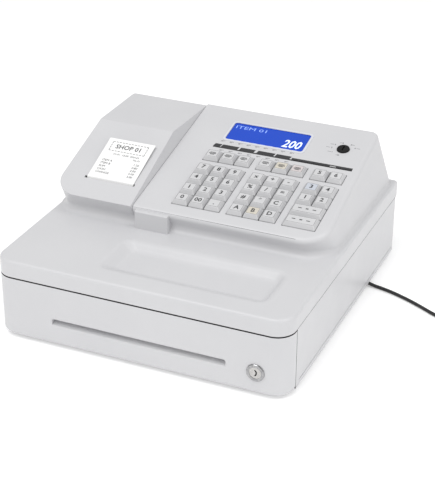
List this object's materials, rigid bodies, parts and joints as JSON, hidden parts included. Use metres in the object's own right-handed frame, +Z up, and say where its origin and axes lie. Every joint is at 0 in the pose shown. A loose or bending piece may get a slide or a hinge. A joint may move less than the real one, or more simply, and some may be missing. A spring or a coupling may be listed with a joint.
{
  "type": "cash register",
  "caption": "Countertop cash register with a pull-out drawer, sloping key panel, blue display, receipt printer under a hinged cover and a mains cord.",
  "frame": {"origin": "middle of the base, on the surface it stands on", "axes": "+X to the operator's right, +Y to the rear, +Z up"},
  "size_m": [0.5035, 0.3464, 0.1566],
  "materials": {
    "case_plastic": "fine satin moulding",
    "drawer_steel": "satin",
    "till_plastic": "satin",
    "clip_steel": "satin",
    "chrome_ring": "polished",
    "lock_steel": "turned",
    "frame_steel": "zinc plated",
    "platen_rubber": "ground",
    "receipt_paper": "smooth thermal paper",
    "display_glass": "clear front over a blue backlit panel",
    "black_plastic": "satin",
    "circuit_board": "solder mask",
    "foot_rubber": "matt",
    "screw_steel": "zinc plated",
    "cord_sheath": "satin sheath",
    "key_plastic": "clear-topped caps"
  },
  "bodies": {
    "case": {"lower_case": "case_plastic", "upper_case": "case_plastic", "printer_mechanism": "frame_steel", "paper_roll": "receipt_paper", "operator_display": "display_glass", "electronics": "circuit_board", "rubber_feet": "foot_rubber", "screws": "screw_steel", "cord_gland": "cord_sheath", "power_cord": "cord_sheath", "cord_coil": "cord_sheath", "power_plug": "black_plastic"},
    "drawer": {"drawer_front": "case_plastic", "drawer_box": "drawer_steel", "till_insert": "till_plastic", "lock_housing": "chrome_ring"},
    "lock_plug": {"lock_plug": "lock_steel"},
    "bill_clips": {"bill_clips": "clip_steel"},
    "printer_cover": {"printer_cover": "case_plastic", "receipt_slip": "receipt_paper"},
    "platen_roller": {"platen_roller": "platen_rubber"},
    "mode_switch": {"mode_switch": "black_plastic"},
    "key_1_1": {"key_1_1": "key_plastic"},
    "key_1_2": {"key_1_2": "key_plastic"},
    "key_1_3": {"key_1_3": "key_plastic"},
    "key_1_4": {"key_1_4": "key_plastic"},
    "key_1_5": {"key_1_5": "key_plastic"},
    "key_1_6": {"key_1_6": "key_plastic"},
    "key_1_7": {"key_1_7": "key_plastic"},
    "key_1_8": {"key_1_8": "key_plastic"},
    "key_2_1": {"key_2_1": "key_plastic"},
    "key_2_2": {"key_2_2": "key_plastic"},
    "key_2_3": {"key_2_3": "key_plastic"},
    "key_2_4": {"key_2_4": "key_plastic"},
    "key_2_5": {"key_2_5": "key_plastic"},
    "key_2_6": {"key_2_6": "key_plastic"},
    "key_2_7": {"key_2_7": "key_plastic"},
    "key_2_8": {"key_2_8": "key_plastic"},
    "key_3_1": {"key_3_1": "key_plastic"},
    "key_3_2": {"key_3_2": "key_plastic"},
    "key_3_3": {"key_3_3": "key_plastic"},
    "key_3_4": {"key_3_4": "key_plastic"},
    "key_3_5": {"key_3_5": "key_plastic"},
    "key_3_6": {"key_3_6": "key_plastic"},
    "key_3_7": {"key_3_7": "key_plastic"},
    "key_3_8": {"key_3_8": "key_plastic"},
    "key_4_1": {"key_4_1": "key_plastic"},
    "key_4_2": {"key_4_2": "key_plastic"},
    "key_4_3": {"key_4_3": "key_plastic"},
    "key_4_4": {"key_4_4": "key_plastic"},
    "key_4_5": {"key_4_5": "key_plastic"},
    "key_4_6": {"key_4_6": "key_plastic"},
    "key_5_1": {"key_5_1": "key_plastic"},
    "key_5_2": {"key_5_2": "key_plastic"},
    "key_5_3": {"key_5_3": "key_plastic"},
    "key_5_4": {"key_5_4": "key_plastic"},
    "key_5_5": {"key_5_5": "key_plastic"},
    "key_5_6": {"key_5_6": "key_plastic"},
    "key_subtotal": {"key_subtotal": "key_plastic"},
    "key_total": {"key_total": "key_plastic"}
  },
  "joints": [
    {"name": "drawer_slide", "type": "slide", "parent": "case", "child": "drawer", "axis": [0, -1, 0], "range_m": [0, 0.23]},
    {"name": "lock_turn", "type": "hinge", "parent": "drawer", "child": "lock_plug", "pos_m": [0.1292, -0.1725, 0.0282], "axis": [0, -1, 0], "range_deg": [0, 90]},
    {"name": "bill_clip_lift", "type": "hinge", "parent": "drawer", "child": "bill_clips", "pos_m": [0, 0.1374, 0.0641], "axis": [-1, 0, 0], "range_deg": [0, 20], "stiffness_Nm_per_rad": 0.05, "springref_deg": -28.65},
    {"name": "cover_hinge", "type": "hinge", "parent": "case", "child": "printer_cover", "pos_m": [-0.11, 0.145, 0.147], "axis": [-1, 0, 0], "range_deg": [0, 50]},
    {"name": "platen_spin", "type": "hinge", "parent": "case", "child": "platen_roller", "pos_m": [-0.1026, -0.014, 0.102], "axis": [1, 0, 0], "continuous": true},
    {"name": "mode_turn", "type": "hinge", "parent": "case", "child": "mode_switch", "pos_m": [0.1169, 0.10881, 0.14833], "axis": [0, -0.2079, 0.9781], "range_deg": [-156, 78]},
    {"name": "key_1_1_press", "type": "slide", "parent": "case", "child": "key_1_1", "axis": [0, 0.2079, -0.9781], "range_m": [0, 0.0028], "stiffness_N_per_m": 150, "springref_m": -0.003},
    {"name": "key_1_2_press", "type": "slide", "parent": "case", "child": "key_1_2", "axis": [0, 0.2079, -0.9781], "range_m": [0, 0.0028], "stiffness_N_per_m": 150, "springref_m": -0.003},
    {"name": "key_1_3_press", "type": "slide", "parent": "case", "child": "key_1_3", "axis": [0, 0.2079, -0.9781], "range_m": [0, 0.0028], "stiffness_N_per_m": 150, "springref_m": -0.003},
    {"name": "key_1_4_press", "type": "slide", "parent": "case", "child": "key_1_4", "axis": [0, 0.2079, -0.9781], "range_m": [0, 0.0028], "stiffness_N_per_m": 150, "springref_m": -0.003},
    {"name": "key_1_5_press", "type": "slide", "parent": "case", "child": "key_1_5", "axis": [0, 0.2079, -0.9781], "range_m": [0, 0.0028], "stiffness_N_per_m": 150, "springref_m": -0.003},
    {"name": "key_1_6_press", "type": "slide", "parent": "case", "child": "key_1_6", "axis": [0, 0.2079, -0.9781], "range_m": [0, 0.0028], "stiffness_N_per_m": 150, "springref_m": -0.003},
    {"name": "key_1_7_press", "type": "slide", "parent": "case", "child": "key_1_7", "axis": [0, 0.2079, -0.9781], "range_m": [0, 0.0028], "stiffness_N_per_m": 150, "springref_m": -0.003},
    {"name": "key_1_8_press", "type": "slide", "parent": "case", "child": "key_1_8", "axis": [0, 0.2079, -0.9781], "range_m": [0, 0.0028], "stiffness_N_per_m": 150, "springref_m": -0.003},
    {"name": "key_2_1_press", "type": "slide", "parent": "case", "child": "key_2_1", "axis": [0, 0.2079, -0.9781], "range_m": [0, 0.0028], "stiffness_N_per_m": 150, "springref_m": -0.003},
    {"name": "key_2_2_press", "type": "slide", "parent": "case", "child": "key_2_2", "axis": [0, 0.2079, -0.9781], "range_m": [0, 0.0028], "stiffness_N_per_m": 150, "springref_m": -0.003},
    {"name": "key_2_3_press", "type": "slide", "parent": "case", "child": "key_2_3", "axis": [0, 0.2079, -0.9781], "range_m": [0, 0.0028], "stiffness_N_per_m": 150, "springref_m": -0.003},
    {"name": "key_2_4_press", "type": "slide", "parent": "case", "child": "key_2_4", "axis": [0, 0.2079, -0.9781], "range_m": [0, 0.0028], "stiffness_N_per_m": 150, "springref_m": -0.003},
    {"name": "key_2_5_press", "type": "slide", "parent": "case", "child": "key_2_5", "axis": [0, 0.2079, -0.9781], "range_m": [0, 0.0028], "stiffness_N_per_m": 150, "springref_m": -0.003},
    {"name": "key_2_6_press", "type": "slide", "parent": "case", "child": "key_2_6", "axis": [0, 0.2079, -0.9781], "range_m": [0, 0.0028], "stiffness_N_per_m": 150, "springref_m": -0.003},
    {"name": "key_2_7_press", "type": "slide", "parent": "case", "child": "key_2_7", "axis": [0, 0.2079, -0.9781], "range_m": [0, 0.0028], "stiffness_N_per_m": 150, "springref_m": -0.003},
    {"name": "key_2_8_press", "type": "slide", "parent": "case", "child": "key_2_8", "axis": [0, 0.2079, -0.9781], "range_m": [0, 0.0028], "stiffness_N_per_m": 150, "springref_m": -0.003},
    {"name": "key_3_1_press", "type": "slide", "parent": "case", "child": "key_3_1", "axis": [0, 0.2079, -0.9781], "range_m": [0, 0.0028], "stiffness_N_per_m": 150, "springref_m": -0.003},
    {"name": "key_3_2_press", "type": "slide", "parent": "case", "child": "key_3_2", "axis": [0, 0.2079, -0.9781], "range_m": [0, 0.0028], "stiffness_N_per_m": 150, "springref_m": -0.003},
    {"name": "key_3_3_press", "type": "slide", "parent": "case", "child": "key_3_3", "axis": [0, 0.2079, -0.9781], "range_m": [0, 0.0028], "stiffness_N_per_m": 150, "springref_m": -0.003},
    {"name": "key_3_4_press", "type": "slide", "parent": "case", "child": "key_3_4", "axis": [0, 0.2079, -0.9781], "range_m": [0, 0.0028], "stiffness_N_per_m": 150, "springref_m": -0.003},
    {"name": "key_3_5_press", "type": "slide", "parent": "case", "child": "key_3_5", "axis": [0, 0.2079, -0.9781], "range_m": [0, 0.0028], "stiffness_N_per_m": 150, "springref_m": -0.003},
    {"name": "key_3_6_press", "type": "slide", "parent": "case", "child": "key_3_6", "axis": [0, 0.2079, -0.9781], "range_m": [0, 0.0028], "stiffness_N_per_m": 150, "springref_m": -0.003},
    {"name": "key_3_7_press", "type": "slide", "parent": "case", "child": "key_3_7", "axis": [0, 0.2079, -0.9781], "range_m": [0, 0.0028], "stiffness_N_per_m": 150, "springref_m": -0.003},
    {"name": "key_3_8_press", "type": "slide", "parent": "case", "child": "key_3_8", "axis": [0, 0.2079, -0.9781], "range_m": [0, 0.0028], "stiffness_N_per_m": 150, "springref_m": -0.003},
    {"name": "key_4_1_press", "type": "slide", "parent": "case", "child": "key_4_1", "axis": [0, 0.2079, -0.9781], "range_m": [0, 0.0028], "stiffness_N_per_m": 150, "springref_m": -0.003},
    {"name": "key_4_2_press", "type": "slide", "parent": "case", "child": "key_4_2", "axis": [0, 0.2079, -0.9781], "range_m": [0, 0.0028], "stiffness_N_per_m": 150, "springref_m": -0.003},
    {"name": "key_4_3_press", "type": "slide", "parent": "case", "child": "key_4_3", "axis": [0, 0.2079, -0.9781], "range_m": [0, 0.0028], "stiffness_N_per_m": 150, "springref_m": -0.003},
    {"name": "key_4_4_press", "type": "slide", "parent": "case", "child": "key_4_4", "axis": [0, 0.2079, -0.9781], "range_m": [0, 0.0028], "stiffness_N_per_m": 150, "springref_m": -0.003},
    {"name": "key_4_5_press", "type": "slide", "parent": "case", "child": "key_4_5", "axis": [0, 0.2079, -0.9781], "range_m": [0, 0.0028], "stiffness_N_per_m": 150, "springref_m": -0.003},
    {"name": "key_4_6_press", "type": "slide", "parent": "case", "child": "key_4_6", "axis": [0, 0.2079, -0.9781], "range_m": [0, 0.0028], "stiffness_N_per_m": 150, "springref_m": -0.003},
    {"name": "key_5_1_press", "type": "slide", "parent": "case", "child": "key_5_1", "axis": [0, 0.2079, -0.9781], "range_m": [0, 0.0028], "stiffness_N_per_m": 150, "springref_m": -0.003},
    {"name": "key_5_2_press", "type": "slide", "parent": "case", "child": "key_5_2", "axis": [0, 0.2079, -0.9781], "range_m": [0, 0.0028], "stiffness_N_per_m": 150, "springref_m": -0.003},
    {"name": "key_5_3_press", "type": "slide", "parent": "case", "child": "key_5_3", "axis": [0, 0.2079, -0.9781], "range_m": [0, 0.0028], "stiffness_N_per_m": 150, "springref_m": -0.003},
    {"name": "key_5_4_press", "type": "slide", "parent": "case", "child": "key_5_4", "axis": [0, 0.2079, -0.9781], "range_m": [0, 0.0028], "stiffness_N_per_m": 150, "springref_m": -0.003},
    {"name": "key_5_5_press", "type": "slide", "parent": "case", "child": "key_5_5", "axis": [0, 0.2079, -0.9781], "range_m": [0, 0.0028], "stiffness_N_per_m": 150, "springref_m": -0.003},
    {"name": "key_5_6_press", "type": "slide", "parent": "case", "child": "key_5_6", "axis": [0, 0.2079, -0.9781], "range_m": [0, 0.0028], "stiffness_N_per_m": 150, "springref_m": -0.003},
    {"name": "key_subtotal_press", "type": "slide", "parent": "case", "child": "key_subtotal", "axis": [0, 0.2079, -0.9781], "range_m": [0, 0.0028], "stiffness_N_per_m": 150, "springref_m": -0.003},
    {"name": "key_total_press", "type": "slide", "parent": "case", "child": "key_total", "axis": [0, 0.2079, -0.9781], "range_m": [0, 0.0028], "stiffness_N_per_m": 150, "springref_m": -0.003}
  ]
}
